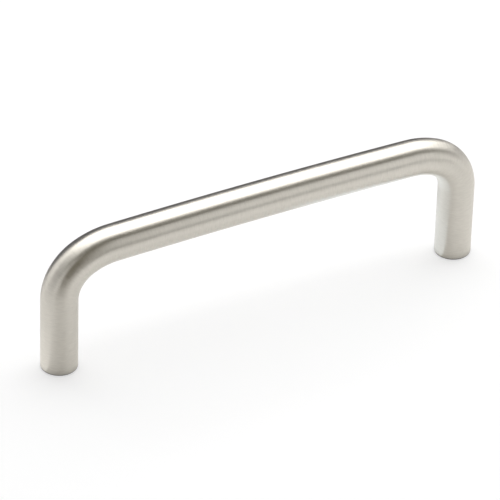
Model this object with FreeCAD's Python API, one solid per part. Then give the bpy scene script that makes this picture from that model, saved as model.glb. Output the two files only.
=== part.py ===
import FreeCAD, Part
import math
import os

# Wire pull for a cabinet door or drawer, in millimetres.
# One round steel bar, bent into a low bridge, with a tapped screw hole up each leg.
# X runs along the grip, Y goes across it, and Z points away from the furniture.
# The origin is midway between the two feet, on the plane that they are screwed against.

# Bar and overall sizes
BAR_DIAMETER = 8.0
SCREW_CENTRES = 96.0
PROJECTION = 32.0

# The turn from leg to grip is compound: a tight bend next to the leg, then a slower shoulder.
# Both radii are taken at the middle of the bar.
BEND_RADIUS = 10.0
SHOULDER_RADIUS = 16.0
SHOULDER_TURN = 25.0

# The grip is not straight but slightly crowned, highest in the middle.
CROWN_RADIUS = 1600.0

# Feet and screw holes
FOOT_EDGE_RADIUS = 0.3
TAP_DRILL_DIAMETER = 3.3
DRILLED_DEPTH = 11.0
DRILL_POINT_ANGLE = 118.0
HOLE_MOUTH_DIAMETER = 4.4
HOLE_MOUTH_ANGLE = 90.0

HALF_CENTRES = SCREW_CENTRES / 2
BAR_RADIUS = BAR_DIAMETER / 2
TOP_OF_CENTRELINE = PROJECTION - BAR_RADIUS

UP = FreeCAD.Vector(0, 0, 1)
LEFT_FOOT = FreeCAD.Vector(-HALF_CENTRES, 0, 0)
RIGHT_FOOT = FreeCAD.Vector(HALF_CENTRES, 0, 0)

# What lies this close to the mounting plane lies in it.
IN_PLANE = 0.001


def crown_half_angle():
    """Slope of the grip, in radians, where the crown meets the shoulder.

    Bend, shoulder and half the crown together span half the screw centres:
      BEND (1 - sin(a + s)) + SHOULDER (sin(a + s) - sin a) + CROWN sin a = HALF_CENTRES
    where s is the shoulder's turn. That is p sin a + q cos a = span, solved for a.
    """
    shoulder_turn = math.radians(SHOULDER_TURN)
    step = SHOULDER_RADIUS - BEND_RADIUS
    p = CROWN_RADIUS - SHOULDER_RADIUS + step * math.cos(shoulder_turn)
    q = step * math.sin(shoulder_turn)
    span = HALF_CENTRES - BEND_RADIUS
    return math.asin(span / math.hypot(p, q)) - math.atan2(q, p)


def on_arc(centre, radius, slope):
    """Point of an arc that turns over to the right, where its slope is the given angle."""
    return centre + FreeCAD.Vector(-math.sin(slope), 0, math.cos(slope)) * radius


def mirrored(point):
    """The same point on the other half of the pull."""
    return FreeCAD.Vector(-point.x, point.y, point.z)


def arc_edge(start, middle, end):
    return Part.Arc(start, middle, end).toShape()


def line_edge(start, end):
    return Part.LineSegment(start, end).toShape()


def centreline():
    """Middle line of the bar, from the left foot over the crown to the right foot."""
    crown_end = crown_half_angle()
    shoulder_end = crown_end + math.radians(SHOULDER_TURN)
    leg = math.pi / 2

    # Each arc's centre lies on the line through its neighbour's centre and their shared end.
    crown_centre = FreeCAD.Vector(0, 0, TOP_OF_CENTRELINE - CROWN_RADIUS)
    to_shoulder = CROWN_RADIUS - SHOULDER_RADIUS
    shoulder_centre = on_arc(crown_centre, to_shoulder, crown_end)
    to_bend = SHOULDER_RADIUS - BEND_RADIUS
    bend_centre = on_arc(shoulder_centre, to_bend, shoulder_end)

    top = on_arc(crown_centre, CROWN_RADIUS, 0)
    crown_start = on_arc(crown_centre, CROWN_RADIUS, crown_end)
    shoulder_middle = on_arc(shoulder_centre, SHOULDER_RADIUS, (crown_end + shoulder_end) / 2)
    shoulder_start = on_arc(shoulder_centre, SHOULDER_RADIUS, shoulder_end)
    bend_middle = on_arc(bend_centre, BEND_RADIUS, (shoulder_end + leg) / 2)
    bend_start = on_arc(bend_centre, BEND_RADIUS, leg)

    left = [
        line_edge(LEFT_FOOT, bend_start),
        arc_edge(bend_start, bend_middle, shoulder_start),
        arc_edge(shoulder_start, shoulder_middle, crown_start),
    ]
    crown = arc_edge(crown_start, top, mirrored(crown_start))
    right = [
        arc_edge(mirrored(crown_start), mirrored(shoulder_middle), mirrored(shoulder_start)),
        arc_edge(mirrored(shoulder_start), mirrored(bend_middle), mirrored(bend_start)),
        line_edge(mirrored(bend_start), RIGHT_FOOT),
    ]
    return Part.Wire(left + [crown] + right)


def bent_bar():
    """The round bar swept along its middle line, with flat, square-cut feet."""
    section = Part.Wire(Part.Circle(LEFT_FOOT, UP, BAR_RADIUS).toShape())
    as_solid = True
    frenet = False
    return centreline().makePipeShell([section], as_solid, frenet)


def with_rounded_feet(bar):
    """Break the sharp rim of both feet, and leave at least half of each foot's ring flat."""
    ring_width = BAR_RADIUS - HOLE_MOUTH_DIAMETER / 2
    radius = min(FOOT_EDGE_RADIUS, ring_width / 2)
    rims = [edge for edge in bar.Edges if edge.BoundBox.ZMax < IN_PLANE]
    return bar.makeFillet(radius, rims)


def screw_hole(foot):
    """Blind hole up a leg, as drilled for tapping: drill point, straight wall, countersunk mouth."""
    drill_radius = TAP_DRILL_DIAMETER / 2
    mouth_radius = HOLE_MOUTH_DIAMETER / 2
    point_height = drill_radius / math.tan(math.radians(DRILL_POINT_ANGLE / 2))
    mouth_depth = (mouth_radius - drill_radius) / math.tan(math.radians(HOLE_MOUTH_ANGLE / 2))

    straight = Part.makeCylinder(drill_radius, DRILLED_DEPTH, foot, UP)
    point = Part.makeCone(drill_radius, 0, point_height, foot + UP * DRILLED_DEPTH, UP)
    mouth = Part.makeCone(mouth_radius, drill_radius, mouth_depth, foot, UP)
    return straight.fuse([point, mouth]).removeSplitter()


def pull_bar():
    bar = with_rounded_feet(bent_bar())
    return bar.cut([screw_hole(LEFT_FOOT), screw_hole(RIGHT_FOOT)])


def main():
    os.makedirs("parts", exist_ok=True)
    shape = pull_bar()
    shape.exportStep("parts/pull_bar.step")


main()
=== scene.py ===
import math

import bmesh
import bpy
from mathutils import Matrix, Vector


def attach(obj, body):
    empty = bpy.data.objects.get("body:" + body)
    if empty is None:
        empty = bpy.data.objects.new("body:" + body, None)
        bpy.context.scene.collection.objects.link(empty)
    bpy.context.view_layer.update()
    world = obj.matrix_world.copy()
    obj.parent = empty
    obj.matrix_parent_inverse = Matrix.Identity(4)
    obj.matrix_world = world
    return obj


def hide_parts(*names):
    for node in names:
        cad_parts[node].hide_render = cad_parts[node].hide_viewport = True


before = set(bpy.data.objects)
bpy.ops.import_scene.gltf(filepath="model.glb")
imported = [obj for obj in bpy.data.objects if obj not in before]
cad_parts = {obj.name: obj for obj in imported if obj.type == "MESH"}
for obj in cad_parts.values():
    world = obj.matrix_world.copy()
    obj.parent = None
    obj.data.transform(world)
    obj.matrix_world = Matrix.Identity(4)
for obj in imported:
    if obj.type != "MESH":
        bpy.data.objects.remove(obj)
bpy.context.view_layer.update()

# A wire pull of satin steel: one round bar with two bends and a tapped hole up each leg.
# Lengths are in metres, in the frame of the CAD model, where +X runs from foot to foot and +Z
# points away from the furniture.

MM = 0.001

# The bar, as in the CAD model
BAR_RADIUS = 4.0 * MM
SCREW_CENTRES = 96.0 * MM
PROJECTION = 32.0 * MM
BEND_RADIUS = 10.0 * MM
SHOULDER_RADIUS = 16.0 * MM
SHOULDER_TURN = math.radians(25.0)
CROWN_RADIUS = 1600.0 * MM
FOOT_EDGE_RADIUS = 0.3 * MM

# The screw holes, as in the CAD model
TAP_DRILL_RADIUS = 1.65 * MM
DRILLED_DEPTH = 11.0 * MM
DRILL_POINT_ANGLE = math.radians(118.0)
HOLE_MOUTH_RADIUS = 2.2 * MM
HOLE_MOUTH_ANGLE = math.radians(90.0)

# The M4 thread in the holes, which is cut only here
THREAD_PITCH = 0.7 * MM
THREAD_MAJOR_RADIUS = 2.0 * MM
THREAD_FLANK_ANGLE = math.radians(60.0)
THREAD_GROOVE_FLAT = THREAD_PITCH / 8
THREADED_DEPTH = 9.0 * MM

# Facets
SIDES = 96
RING_GAP = 0.9 * MM
RING_TURN = math.radians(2.0)
FOOT_EDGE_RINGS = 8
THREAD_ROWS = 12
DRILL_POINT_RINGS = 4
SHARP_ANGLE = math.radians(28.0)

# The bar's places in the texture square: its skin from the bottom up to SKIN_TOP, and above it
# a strip for the feet and one for the holes, with the left leg in the first half of each
SKIN_TOP = 0.8
FOOT_STRIP = (0.82, 0.87)
HOLE_STRIP = (0.88, 0.99)
HALF_STRIP_LENGTH = 0.48

# Places in the mesh's list of materials
SKIN, RIM, FOOT, HOLE = range(4)

# The skin's steel, from its darkest lines to its lightest
STEEL_DARK = (0.600, 0.568, 0.509)
STEEL_LIGHT = (0.730, 0.698, 0.631)
SATIN_ROUGHNESS = 0.41
SATIN_ANISOTROPY = 0.72

# Painted shade on the skin next to the rims, for the floor's contact shade seen in it, and the
# heights between which it fades into the rest
STEEL_PAINTED_SHADE = (0.44, 0.42, 0.375)
PAINTED_SHADE_HEIGHTS_MM = (0.3, 1.5)

# What the brush leaves on the skin: the width along the bar and the length round it, in mm
HAIRLINE_MM = (0.09, 2.0)
SCRATCH_MM = (0.35, 1.4)
PATCH_MM = (5.0, 4.8)
HAIRLINE_DEPTH = 0.0012 * MM
SCRATCH_DEPTH = 0.006 * MM
SCRATCH_ROUGHNESS = 0.05
PATCH_ROUGHNESS = 0.02

# The bare steel of the rims, feet and holes, from its darkest stains to its lightest. The rims' steel
# is painted very dark, as painted shade for the dark line round the bottom of each foot.
RIM_SHADE_DARK = (0.100, 0.096, 0.090)
RIM_SHADE_LIGHT = (0.200, 0.192, 0.178)
FOOT_DARK = (0.50, 0.48, 0.44)
FOOT_LIGHT = (0.60, 0.58, 0.53)
HOLE_DARK = (0.36, 0.345, 0.32)
HOLE_LIGHT = (0.46, 0.44, 0.41)
STAIN_MM = 1.4
STAIN_ROUGHNESS = 0.05
TOOL_RING_ROUGHNESS = 0.04

# The part of noise's range of 0 to 1 that holds nearly all its values
NOISE_RANGE = (0.25, 0.75)

# The camera, found by fitting the bar's outline in the photograph
CAMERA_AZIMUTH = math.radians(-29.488)
CAMERA_ELEVATION = math.radians(34.773)
CAMERA_ROLL = math.radians(1.815)
CAMERA_DISTANCE = 989.0 * MM
CAMERA_TARGET = Vector((-2.762 * MM, 0, 15.552 * MM))
FOCAL_LENGTH_IN_WIDTHS = 4655.337 / 500
SENSOR_WIDTH_MM = 36.0

# The floor, just under the feet, and the world. The camera's view of the floor glows from the
# first level near the pull to the second one further out.
FLOOR_HALF_SIZE = 3.0
FLOOR_DROP = 0.05 * MM
FLOOR_GREY_TO_CAMERA = 0.5
FLOOR_GLOW_TO_CAMERA = (0.53, 0.85)
FLOOR_GLOW_DISTANCES = (0.15, 0.9)
FLOOR_GREY_TO_METAL = 0.9
FLOOR_GLOW_TO_METAL = 0.1
WORLD_FILL = 0.4

# The softbox: its ends are places along X, and its tilts the angles of its back and front edges
# above the horizon behind the grip.
GRIP_MIDDLE = Vector((0, 0, PROJECTION - BAR_RADIUS))
SOFTBOX_LEVEL = 1.74
SOFTBOX_DISTANCE = 0.6
SOFTBOX_ENDS = (-0.245, 1.28)
SOFTBOX_TILTS = (math.radians(36.3), math.radians(103.0))

# The cards: the height of their feet, the places in Y between which a flat one's grey changes,
# and their tints
CARD_FOOT = 0.5 * MM
FLAT_CARD_SHADING = (-4.0 * MM, 12.0 * MM)
WHITE = (1.0, 1.0, 1.0)
OLIVE = (1.6, 1.2, 0.1)
BLUISH = (0.97, 0.97, 1.08)
COOL_WHITE = (0.95, 1.0, 1.05)


# The bar's form

def crown_half_turn():
    """Half the angle of the crown, for which the shoulders and bends end over the screw centres."""
    step = SHOULDER_RADIUS - BEND_RADIUS
    across = CROWN_RADIUS - SHOULDER_RADIUS + step * math.cos(SHOULDER_TURN)
    along = step * math.sin(SHOULDER_TURN)
    half_span = SCREW_CENTRES / 2 - BEND_RADIUS
    return math.asin(half_span / math.hypot(across, along)) - math.atan2(along, across)


def leg_length(crown_turn):
    """The straight part of a leg: what the arcs leave of the middle line's height."""
    bend_slope = crown_turn + SHOULDER_TURN
    crown_rise = CROWN_RADIUS * (1 - math.cos(crown_turn))
    shoulder_rise = SHOULDER_RADIUS * (math.cos(crown_turn) - math.cos(bend_slope))
    bend_rise = BEND_RADIUS * math.cos(bend_slope)
    return PROJECTION - BAR_RADIUS - crown_rise - shoulder_rise - bend_rise


def middle_line():
    """Stations (x, z, heading, travelled) from above the left foot's edge to the right one's."""
    crown_turn = crown_half_turn()
    bend_turn = math.pi / 2 - SHOULDER_TURN - crown_turn
    straight = leg_length(crown_turn) - FOOT_EDGE_RADIUS
    # A stretch is (length, turn).
    leg = (straight, 0.0)
    bend = (BEND_RADIUS * bend_turn, bend_turn)
    shoulder = (SHOULDER_RADIUS * SHOULDER_TURN, SHOULDER_TURN)
    crown = (CROWN_RADIUS * 2 * crown_turn, 2 * crown_turn)

    x, z = -SCREW_CENTRES / 2, FOOT_EDGE_RADIUS
    heading, travelled = math.pi / 2, FOOT_EDGE_RADIUS
    stations = [(x, z, heading, travelled)]
    for length, turn in (leg, bend, shoulder, crown, shoulder, bend, leg):
        steps = max(math.ceil(length / RING_GAP), math.ceil(turn / RING_TURN))
        step, half = length / steps, turn / steps / 2
        chord = step * math.sin(half) / half if half else step
        for _ in range(steps):
            x += chord * math.cos(heading - half)
            z += chord * math.sin(heading - half)
            heading -= 2 * half
            travelled += step
            stations.append((x, z, heading, travelled))
    return stations


def bar_length():
    """Length of the middle line from foot to foot."""
    return middle_line()[-1][3] + FOOT_EDGE_RADIUS


def add_face(bm, uv_layer, corners, uvs, material_index):
    """A face of the corners that differ, or none where fewer than three do."""
    kept = []
    for vertex, uv in zip(corners, uvs):
        if all(vertex is not other for other, _ in kept):
            kept.append((vertex, uv))
    if len(kept) < 3:
        return
    face = bm.faces.new([vertex for vertex, _ in kept])
    face.smooth = True
    face.material_index = material_index
    for loop, (_, uv) in zip(face.loops, kept):
        loop[uv_layer].uv = uv


def join_rings(bm, uv_layer, first, second, first_uv, second_uv, material_index):
    """A band of quads. The two uv functions turn a share of the way round into a uv pair."""
    for i in range(SIDES):
        j = (i + 1) % SIDES
        start, end = i / SIDES, (i + 1) / SIDES
        corners = (first[i], first[j], second[j], second[i])
        uvs = (first_uv(start), first_uv(end), second_uv(end), second_uv(start))
        add_face(bm, uv_layer, corners, uvs, material_index)


def skin_ring(bm, x, z, heading):
    """Vertices round the bar, square to its middle line. The first is on the outside of the bends."""
    outward = Vector((-math.sin(heading), 0, math.cos(heading)))
    sideways = Vector((0, 1, 0))
    ring = []
    for i in range(SIDES):
        angle = 2 * math.pi * i / SIDES
        spoke = outward * math.cos(angle) + sideways * math.sin(angle)
        ring.append(bm.verts.new(Vector((x, 0, z)) + spoke * BAR_RADIUS))
    return ring


def level_ring(bm, leg_x, radius, z):
    """Vertices round a leg's axis at one height, from +X towards +Y."""
    step = 2 * math.pi / SIDES
    return [
        bm.verts.new((leg_x + radius * math.cos(i * step), radius * math.sin(i * step), z))
        for i in range(SIDES)
    ]


def from_plus_x(ring, leg_x):
    """A skin ring's vertices at a foot, in the order of a level ring."""
    step = 2 * math.pi / SIDES

    def place(vertex):
        return round(math.atan2(vertex.co.y, vertex.co.x - leg_x) / step) % SIDES

    return sorted(ring, key=place)


def groove_radius(phase):
    """Radius of the thread's trapezoid at a phase of 0 to 1 along its pitch, groove in the middle."""
    from_middle = abs(phase - 0.5) * THREAD_PITCH
    down_flank = max(0.0, from_middle - THREAD_GROOVE_FLAT / 2)
    return THREAD_MAJOR_RADIUS - down_flank / math.tan(THREAD_FLANK_ANGLE / 2)


def hole_radius(z, phase):
    """Radius of the tapped hole: the widest of the drill, the countersink and the thread."""
    mouth = HOLE_MOUTH_RADIUS - z * math.tan(HOLE_MOUTH_ANGLE / 2)
    # The tap's lead fades the thread out over its last turn.
    left = min(1.0, (THREADED_DEPTH - z) / THREAD_PITCH)
    groove = TAP_DRILL_RADIUS + (groove_radius(phase) - TAP_DRILL_RADIUS) * left
    return max(TAP_DRILL_RADIUS, mouth, groove)


def cut_thread(bm, uv_layer, leg_x, mouth, end, uv_at_depth):
    """Quads along the helix, from the mouth's ring to the level ring where the thread ends."""
    made = {}

    def corner(row, column):
        """The vertex and depth at a row down the groove and a column round the hole."""
        if column == SIDES:
            row, column = row + THREAD_ROWS, 0
        z = (row / THREAD_ROWS + column / SIDES) * THREAD_PITCH
        if z <= 0:
            return mouth[column], 0.0
        if z >= THREADED_DEPTH:
            return end[column], THREADED_DEPTH
        if (row, column) not in made:
            radius = hole_radius(z, (row % THREAD_ROWS) / THREAD_ROWS)
            angle = 2 * math.pi * column / SIDES
            place = (leg_x + radius * math.cos(angle), radius * math.sin(angle), z)
            made[row, column] = bm.verts.new(place)
        return made[row, column], z

    last_row = math.ceil(THREADED_DEPTH / THREAD_PITCH * THREAD_ROWS)
    for row in range(-THREAD_ROWS, last_row):
        for column in range(SIDES):
            places = ((row, column), (row, column + 1), (row + 1, column + 1), (row + 1, column))
            corners = [corner(*place) for place in places]
            vertices = [vertex for vertex, _ in corners]
            uvs = [uv_at_depth(z)(side / SIDES) for (_, side), (_, z) in zip(places, corners)]
            add_face(bm, uv_layer, vertices, uvs, HOLE)


def close_foot(bm, uv_layer, skin_end, leg):
    """The rounded edge, flat foot and tapped hole of leg 0, the left one, or leg 1."""
    leg_x = (leg - 0.5) * SCREW_CENTRES
    hole_end = DRILLED_DEPTH + TAP_DRILL_RADIUS / math.tan(DRILL_POINT_ANGLE / 2)

    def uv_in(strip, share):
        low, high = strip
        return lambda turn: (leg / 2 + HALF_STRIP_LENGTH * turn, low + (high - low) * share)

    def uv_at_radius(radius):
        return uv_in(FOOT_STRIP, (BAR_RADIUS - radius) / (BAR_RADIUS - HOLE_MOUTH_RADIUS))

    def uv_at_depth(depth):
        return uv_in(HOLE_STRIP, depth / hole_end)

    last, last_radius = from_plus_x(skin_end, leg_x), BAR_RADIUS
    for k in range(1, FOOT_EDGE_RINGS + 1):
        angle = math.pi / 2 * k / FOOT_EDGE_RINGS
        radius = BAR_RADIUS - FOOT_EDGE_RADIUS * (1 - math.cos(angle))
        ring = level_ring(bm, leg_x, radius, FOOT_EDGE_RADIUS * (1 - math.sin(angle)))
        join_rings(bm, uv_layer, last, ring, uv_at_radius(last_radius), uv_at_radius(radius), RIM)
        last, last_radius = ring, radius
    mouth = level_ring(bm, leg_x, HOLE_MOUTH_RADIUS, 0)
    mouth_uv = uv_at_radius(HOLE_MOUTH_RADIUS)
    join_rings(bm, uv_layer, last, mouth, uv_at_radius(last_radius), mouth_uv, FOOT)

    last, last_depth = level_ring(bm, leg_x, TAP_DRILL_RADIUS, THREADED_DEPTH), THREADED_DEPTH
    cut_thread(bm, uv_layer, leg_x, mouth, last, uv_at_depth)
    for k in range(DRILL_POINT_RINGS):
        share = k / DRILL_POINT_RINGS
        depth = DRILLED_DEPTH + (hole_end - DRILLED_DEPTH) * share
        ring = level_ring(bm, leg_x, TAP_DRILL_RADIUS * (1 - share), depth)
        join_rings(bm, uv_layer, last, ring, uv_at_depth(last_depth), uv_at_depth(depth), HOLE)
        last, last_depth = ring, depth
    tip = [bm.verts.new((leg_x, 0, hole_end))] * SIDES
    join_rings(bm, uv_layer, last, tip, uv_at_depth(last_depth), uv_at_depth(hole_end), HOLE)


def bar_mesh():
    """The whole bar as one closed mesh."""
    bm = bmesh.new()
    uv_layer = bm.loops.layers.uv.new("along_bar")
    whole = bar_length()

    def uv_at(travelled):
        return lambda turn: (travelled / whole, SKIN_TOP * turn)

    rings = [(skin_ring(bm, x, z, heading), travelled) for x, z, heading, travelled in middle_line()]
    for (first, start), (second, end) in zip(rings, rings[1:]):
        join_rings(bm, uv_layer, first, second, uv_at(start), uv_at(end), SKIN)
    close_foot(bm, uv_layer, rings[0][0], 0)
    close_foot(bm, uv_layer, rings[-1][0], 1)

    bmesh.ops.recalc_face_normals(bm, faces=bm.faces)
    mesh = bpy.data.meshes.new("pull_bar_skin")
    bm.to_mesh(mesh)
    bm.free()
    mesh.set_sharp_from_angle(angle=SHARP_ANGLE)
    return mesh


# Nodes of the materials. An input is another node's socket or a plain value.

def feed(tree, socket, value):
    if isinstance(value, bpy.types.NodeSocket):
        tree.links.new(value, socket)
    else:
        socket.default_value = value


def maths(tree, operation, *values):
    node = tree.nodes.new("ShaderNodeMath")
    node.operation = operation
    for socket, value in zip(node.inputs, values):
        feed(tree, socket, value)
    return node.outputs[0]


def scaled(tree, value, factor):
    return maths(tree, "MULTIPLY", value, factor)


def combine(tree, x, y, z):
    node = tree.nodes.new("ShaderNodeCombineXYZ")
    for socket, value in zip(node.inputs, (x, y, z)):
        feed(tree, socket, value)
    return node.outputs[0]


def separate(tree, vector):
    node = tree.nodes.new("ShaderNodeSeparateXYZ")
    feed(tree, node.inputs[0], vector)
    return node.outputs["X"], node.outputs["Y"], node.outputs["Z"]


def noise(tree, vector, detail):
    """Noise of about 0 to 1 with cells of one unit of the vector."""
    node = tree.nodes.new("ShaderNodeTexNoise")
    node.inputs["Scale"].default_value = 1.0
    node.inputs["Detail"].default_value = detail
    feed(tree, node.inputs["Vector"], vector)
    return node.outputs["Fac"]


def remap(tree, value, start, end, low, high):
    """The value's range from start to end, mapped to run from low to high and held there."""
    node = tree.nodes.new("ShaderNodeMapRange")
    limits = {"From Min": start, "From Max": end, "To Min": low, "To Max": high}
    feed(tree, node.inputs["Value"], value)
    for name, limit in limits.items():
        node.inputs[name].default_value = limit
    return node.outputs["Result"]


def spread(tree, value, low, high):
    """Noise mapped to run from low to high."""
    return remap(tree, value, *NOISE_RANGE, low, high)


def hypotenuse(tree, x, y):
    squares = (maths(tree, "MULTIPLY", axis, axis) for axis in (x, y))
    return maths(tree, "SQRT", maths(tree, "ADD", *squares))


def object_place(tree):
    """The coordinates of a point in the frame of its object."""
    node = tree.nodes.new("ShaderNodeTexCoord")
    return separate(tree, node.outputs["Object"])


def blend_colours(tree, share, first, second):
    """A mix of two colours, each a socket or three numbers, with a share of the second."""
    node = tree.nodes.new("ShaderNodeMix")
    node.data_type = "RGBA"
    feed(tree, node.inputs["Factor"], share)
    colours = [socket for socket in node.inputs if socket.type == "RGBA"]
    for socket, colour in zip(colours, (first, second)):
        feed(tree, socket, (*colour, 1) if isinstance(colour, tuple) else colour)
    return next(socket for socket in node.outputs if socket.type == "RGBA")


def bump(tree, height, depth, under=None):
    """A normal from a height of 0 to 1 that stands for so many metres, over another bump's."""
    node = tree.nodes.new("ShaderNodeBump")
    node.inputs["Distance"].default_value = depth
    feed(tree, node.inputs["Height"], height)
    if under is not None:
        feed(tree, node.inputs["Normal"], under)
    return node.outputs["Normal"]


def metal(name, roughness, anisotropy):
    material = bpy.data.materials.new(name)
    material.use_nodes = True
    shader = material.node_tree.nodes["Principled BSDF"]
    shader.inputs["Metallic"].default_value = 1.0
    shader.inputs["Roughness"].default_value = roughness
    shader.inputs["Anisotropic"].default_value = anisotropy
    return material, material.node_tree, shader


# Materials

def satin_steel():
    """Steel brushed round the bar: lines across its length at two widths, and a few faint patches,
    with painted shade just above the rims.
    """
    material, tree, shader = metal("satin_steel", SATIN_ROUGHNESS, SATIN_ANISOTROPY)
    uv_map = tree.nodes.new("ShaderNodeUVMap")
    uv_map.uv_map = "along_bar"
    u, v, _ = separate(tree, uv_map.outputs["UV"])
    # All in millimetres: the place along the bar, and the place round it as a circle without a seam
    along = scaled(tree, u, bar_length() / MM)
    angle = scaled(tree, v, 2 * math.pi / SKIN_TOP)
    round_x = scaled(tree, maths(tree, "COSINE", angle), BAR_RADIUS / MM)
    round_y = scaled(tree, maths(tree, "SINE", angle), BAR_RADIUS / MM)

    def marks(size, detail):
        """Noise with cells of a width along the bar and a length round it."""
        width, length = size
        across = scaled(tree, along, 1 / width)
        around = (scaled(tree, axis, 1 / length) for axis in (round_x, round_y))
        return noise(tree, combine(tree, across, *around), detail)

    hairlines = marks(HAIRLINE_MM, detail=2.0)
    scratches = marks(SCRATCH_MM, detail=3.0)
    patches = marks(PATCH_MM, detail=2.0)

    tone = scaled(tree, maths(tree, "ADD", hairlines, scratches), 0.5)
    brushed = blend_colours(tree, spread(tree, tone, 0.0, 1.0), STEEL_DARK, STEEL_LIGHT)
    # Painted shade: the skin just above the rims is darker, in patches, for the floor's contact shade
    # seen in it.
    height = scaled(tree, object_place(tree)[2], 1 / MM)
    painted_shade = maths(tree, "MULTIPLY", remap(tree, height, *PAINTED_SHADE_HEIGHTS_MM, 1.0, 0.0), patches)
    feed(tree, shader.inputs["Base Color"], blend_colours(tree, painted_shade, brushed, STEEL_PAINTED_SHADE))
    scratched = spread(tree, scratches, -SCRATCH_ROUGHNESS, SCRATCH_ROUGHNESS)
    patched = spread(tree, patches, -PATCH_ROUGHNESS, PATCH_ROUGHNESS)
    unevenness = maths(tree, "ADD", scratched, patched)
    feed(tree, shader.inputs["Roughness"], maths(tree, "ADD", unevenness, SATIN_ROUGHNESS))
    hairline_normal = bump(tree, hairlines, HAIRLINE_DEPTH)
    feed(tree, shader.inputs["Normal"], bump(tree, scratches, SCRATCH_DEPTH, hairline_normal))

    tangent = tree.nodes.new("ShaderNodeTangent")
    tangent.direction_type = "UV_MAP"
    tangent.uv_map = "along_bar"
    feed(tree, shader.inputs["Tangent"], tangent.outputs["Tangent"])
    return material


def from_leg_axis(tree):
    """Millimetres from the nearer leg's axis: the radius, then the three coordinates."""
    x, y, z = (scaled(tree, axis, 1 / MM) for axis in object_place(tree))
    x = maths(tree, "SUBTRACT", maths(tree, "ABSOLUTE", x), SCREW_CENTRES / 2 / MM)
    return hypotenuse(tree, x, y), x, y, z


def tooled_steel(name, colours, roughness, ring_mm, ring_depth):
    """Bare steel as a cutting tool leaves it: fine rings round the leg's axis, and faint stains."""
    material, tree, shader = metal(name, roughness, 0.0)
    radius, x, y, z = from_leg_axis(tree)
    rings = noise(tree, combine(tree, scaled(tree, radius, 1 / ring_mm), 0.0, z), detail=3.0)
    stain_cells = (scaled(tree, axis, 1 / STAIN_MM) for axis in (x, y, z))
    stains = noise(tree, combine(tree, *stain_cells), detail=4.0)
    stained_colour = blend_colours(tree, spread(tree, stains, 0.0, 1.0), *colours)
    feed(tree, shader.inputs["Base Color"], stained_colour)
    stained = spread(tree, stains, -STAIN_ROUGHNESS, STAIN_ROUGHNESS)
    ringed = spread(tree, rings, -TOOL_RING_ROUGHNESS, TOOL_RING_ROUGHNESS)
    unevenness = maths(tree, "ADD", stained, ringed)
    feed(tree, shader.inputs["Roughness"], maths(tree, "ADD", unevenness, roughness))
    feed(tree, shader.inputs["Normal"], bump(tree, rings, ring_depth))
    return material


def bar_materials():
    """The materials, in the order of SKIN, RIM, FOOT and HOLE."""
    rim, foot, hole = (RIM_SHADE_DARK, RIM_SHADE_LIGHT), (FOOT_DARK, FOOT_LIGHT), (HOLE_DARK, HOLE_LIGHT)
    return (
        satin_steel(),
        # The rim's very dark colours are painted shade, for the dark line round the bottom of each
        # foot.
        tooled_steel("deburred_rim_painted_shade", rim, roughness=0.34, ring_mm=0.2, ring_depth=0.002 * MM),
        tooled_steel("faced_foot", foot, roughness=0.36, ring_mm=0.12, ring_depth=0.006 * MM),
        tooled_steel("tapped_hole", hole, roughness=0.38, ring_mm=0.1, ring_depth=0.002 * MM),
    )


def add_bar():
    mesh = bar_mesh()
    for material in bar_materials():
        mesh.materials.append(material)
    bar = bpy.data.objects.new("satin_bar", mesh)
    bpy.context.scene.collection.objects.link(bar)
    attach(bar, "root")
    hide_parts("pull_bar")


# The studio

def seen_by(tree, *rays):
    """1 for the named kinds of ray, 0 for others."""
    path = tree.nodes.new("ShaderNodeLightPath")
    total = path.outputs[rays[0]]
    for ray in rays[1:]:
        total = maths(tree, "MAXIMUM", total, path.outputs[ray])
    return total


def matt(name, grey):
    """A matt surface with a white glow of strength 0, for the caller to set."""
    material = bpy.data.materials.new(name)
    material.use_nodes = True
    shader = material.node_tree.nodes["Principled BSDF"]
    shader.inputs["Base Color"].default_value = (grey, grey, grey, 1)
    shader.inputs["Roughness"].default_value = 1.0
    shader.inputs["Specular IOR Level"].default_value = 0.0
    shader.inputs["Emission Color"].default_value = (1, 1, 1, 1)
    return material, material.node_tree, shader


def add_sheet(name, corners, material):
    """A flat four-cornered piece of the studio."""
    mesh = bpy.data.meshes.new(name)
    mesh.from_pydata(corners, [], [(0, 1, 2, 3)])
    mesh.materials.append(material)
    sheet = bpy.data.objects.new(name, mesh)
    bpy.context.scene.collection.objects.link(sheet)
    return sheet


def clear_from_below(tree, shader):
    """Leaves the surface open to a look from behind its face."""
    geometry = tree.nodes.new("ShaderNodeNewGeometry")
    clear = tree.nodes.new("ShaderNodeBsdfTransparent")
    choice = tree.nodes.new("ShaderNodeMixShader")
    feed(tree, choice.inputs[0], geometry.outputs["Backfacing"])
    feed(tree, choice.inputs[1], shader.outputs["BSDF"])
    feed(tree, choice.inputs[2], clear.outputs["BSDF"])
    feed(tree, tree.nodes["Material Output"].inputs["Surface"], choice.outputs["Shader"])


def add_floor():
    """A pale floor: a faint shadow on white to the camera, and its full shading in the metal."""
    material, tree, shader = matt("floor", FLOOR_GREY_TO_CAMERA)
    in_metal = seen_by(tree, "Is Glossy Ray")
    greys = ((FLOOR_GREY_TO_CAMERA,) * 3, (FLOOR_GREY_TO_METAL,) * 3)
    feed(tree, shader.inputs["Base Color"], blend_colours(tree, in_metal, *greys))
    # Further out, where the softbox gives less light, the floor glows more, and stays as white.
    x, y, _ = object_place(tree)
    glow = remap(tree, hypotenuse(tree, x, y), *FLOOR_GLOW_DISTANCES, *FLOOR_GLOW_TO_CAMERA)
    to_camera = maths(tree, "MULTIPLY", seen_by(tree, "Is Camera Ray", "Is Transmission Ray"), glow)
    to_metal = scaled(tree, in_metal, FLOOR_GLOW_TO_METAL)
    feed(tree, shader.inputs["Emission Strength"], maths(tree, "ADD", to_camera, to_metal))
    clear_from_below(tree, shader)
    size, z = FLOOR_HALF_SIZE, -FLOOR_DROP
    corners = [(-size, -size, z), (size, -size, z), (size, size, z), (-size, size, z)]
    add_sheet("floor", corners, material)


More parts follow.
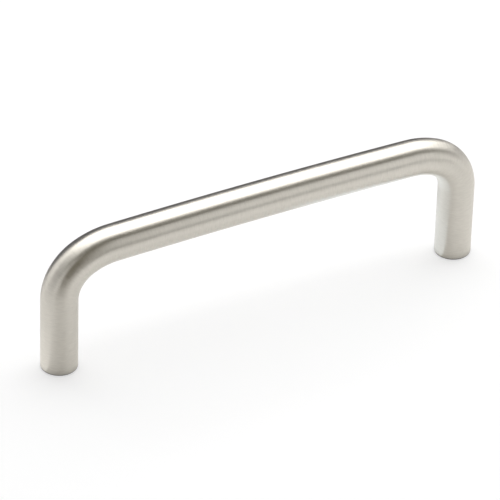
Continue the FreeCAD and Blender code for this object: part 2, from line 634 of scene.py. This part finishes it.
def add_card(name, corners, grey, tint):
    """A card that shows only in the metal, with its node tree and shader returned."""
    material, tree, shader = matt(name, 0.0)
    shader.inputs["Emission Color"].default_value = (*tint, 1)
    shader.inputs["Emission Strength"].default_value = grey
    card = add_sheet(name, corners, material)
    card.visible_camera = False
    card.visible_shadow = False
    card.visible_diffuse = False
    return tree, shader


def add_upright_card(name, ends, heights, grey, tint=WHITE):
    """A card that stands between two places on the floor plan, from one height to another."""
    (start, end), (bottom, top) = ends, heights
    add_card(name, [(*start, bottom), (*end, bottom), (*end, top), (*start, top)], grey, tint)


def add_flat_card(name, leg_x, reach, front, back, greys, tint=WHITE):
    """A card just over the floor on the left of a leg, of one grey in front and one at the back."""
    left, z = leg_x - reach, CARD_FOOT
    corners = [(leg_x, 0, z), (leg_x, back, z), (left, back, z), (left, front, z)]
    tree, shader = add_card(name, corners, 0.0, tint)
    _, y, _ = object_place(tree)
    feed(tree, shader.inputs["Emission Strength"], remap(tree, y, *FLAT_CARD_SHADING, *greys))


def add_cards():
    """Cards round the pull, whose reflections make the bands along the bar."""
    # Low behind it, for the dark line along the back of the grip
    ends, heights = ((-0.08, 0.065), (0.44, 0.043)), (CARD_FOOT, 0.0755)
    add_upright_card("back_card", ends, heights, grey=0.12, tint=BLUISH)
    # High in front, for the dark band under the highlight
    ends, heights = ((-0.925, -0.25), (0.565, -0.25)), (0.30, 1.93)
    add_upright_card("gap_card", ends, heights, grey=0.025, tint=OLIVE)
    # In front on the left, for the dark streak down the left bend
    ends, heights = ((-0.178, -0.118), (-0.030, -0.088)), (0.007, 0.135)
    add_upright_card("camera_card", ends, heights, grey=0.035, tint=OLIVE)
    # Low in front, for the faint darker line along the front of the grip
    ends, heights = ((-0.68, -0.29), (0.30, -0.29)), (CARD_FOOT, 0.058)
    add_upright_card("low_card", ends, heights, grey=0.375)
    # At the two ends, for the outer sides of the bends
    ends, heights = ((-0.53, -0.188), (-0.53, 0.23)), (0.0625, 1.60)
    add_upright_card("left_card", ends, heights, grey=0.37)
    ends, heights = ((0.66, -0.305), (0.66, 0.34)), (0.008, 0.57)
    add_upright_card("right_card", ends, heights, grey=0.53)
    # On the floor, for the pale left sides of the legs
    leg_x = SCREW_CENTRES / 2
    left_card = {"reach": 0.019, "front": -0.006, "back": 0.012, "greys": (1.12, 1.15)}
    right_card = {"reach": 0.030, "front": -0.012, "back": 0.030, "greys": (1.10, 1.38)}
    add_flat_card("left_flat_card", -leg_x, **left_card)
    add_flat_card("right_flat_card", leg_x, **right_card, tint=COOL_WHITE)


def add_softbox():
    """A lamp panel that faces the grip from above and behind, and reaches far to the right."""
    back, front = SOFTBOX_TILTS
    left, right = SOFTBOX_ENDS
    middle = (back + front) / 2
    light = bpy.data.lights.new("softbox", "AREA")
    light.shape = "RECTANGLE"
    light.size = right - left
    light.size_y = 2 * SOFTBOX_DISTANCE * math.tan((front - back) / 2)
    light.energy = SOFTBOX_LEVEL * math.pi * light.size * light.size_y
    lamp = bpy.data.objects.new("softbox", light)
    bpy.context.scene.collection.objects.link(lamp)
    from_grip = Vector((0, math.cos(middle), math.sin(middle))) * SOFTBOX_DISTANCE
    lamp.location = GRIP_MIDDLE + from_grip + Vector(((left + right) / 2, 0, 0))
    lamp.rotation_euler = (-from_grip).to_track_quat("-Z", "Y").to_euler()
    lamp.visible_camera = False


def add_world():
    """White behind everything, and a plain fill on the floor."""
    world = bpy.data.worlds.new("studio")
    bpy.context.scene.world = world
    world.use_nodes = True
    tree = world.node_tree
    background = tree.nodes["Background"]
    background.inputs["Color"].default_value = (1, 1, 1, 1)
    seen = seen_by(tree, "Is Camera Ray", "Is Glossy Ray", "Is Transmission Ray")
    strength = maths(tree, "ADD", scaled(tree, seen, 1 - WORLD_FILL), WORLD_FILL)
    feed(tree, background.inputs["Strength"], strength)


def add_camera():
    azimuth, elevation = CAMERA_AZIMUTH, CAMERA_ELEVATION
    away = Vector((
        math.sin(azimuth) * math.cos(elevation),
        -math.cos(azimuth) * math.cos(elevation),
        math.sin(elevation),
    ))
    level = Vector((math.cos(azimuth), math.sin(azimuth), 0))
    upright = away.cross(level)
    right = level * math.cos(CAMERA_ROLL) + upright * math.sin(CAMERA_ROLL)
    up = upright * math.cos(CAMERA_ROLL) - level * math.sin(CAMERA_ROLL)
    data = bpy.data.cameras.new("camera")
    data.sensor_width = SENSOR_WIDTH_MM
    data.lens = FOCAL_LENGTH_IN_WIDTHS * SENSOR_WIDTH_MM
    camera = bpy.data.objects.new("camera", data)
    bpy.context.scene.collection.objects.link(camera)
    turn = Matrix((right, up, away)).transposed().to_4x4()
    camera.matrix_world = Matrix.Translation(CAMERA_TARGET + away * CAMERA_DISTANCE) @ turn
    bpy.context.scene.camera = camera


add_bar()
add_floor()
add_world()
add_softbox()
add_cards()
add_camera()
bpy.context.scene.view_settings.view_transform = "Standard"
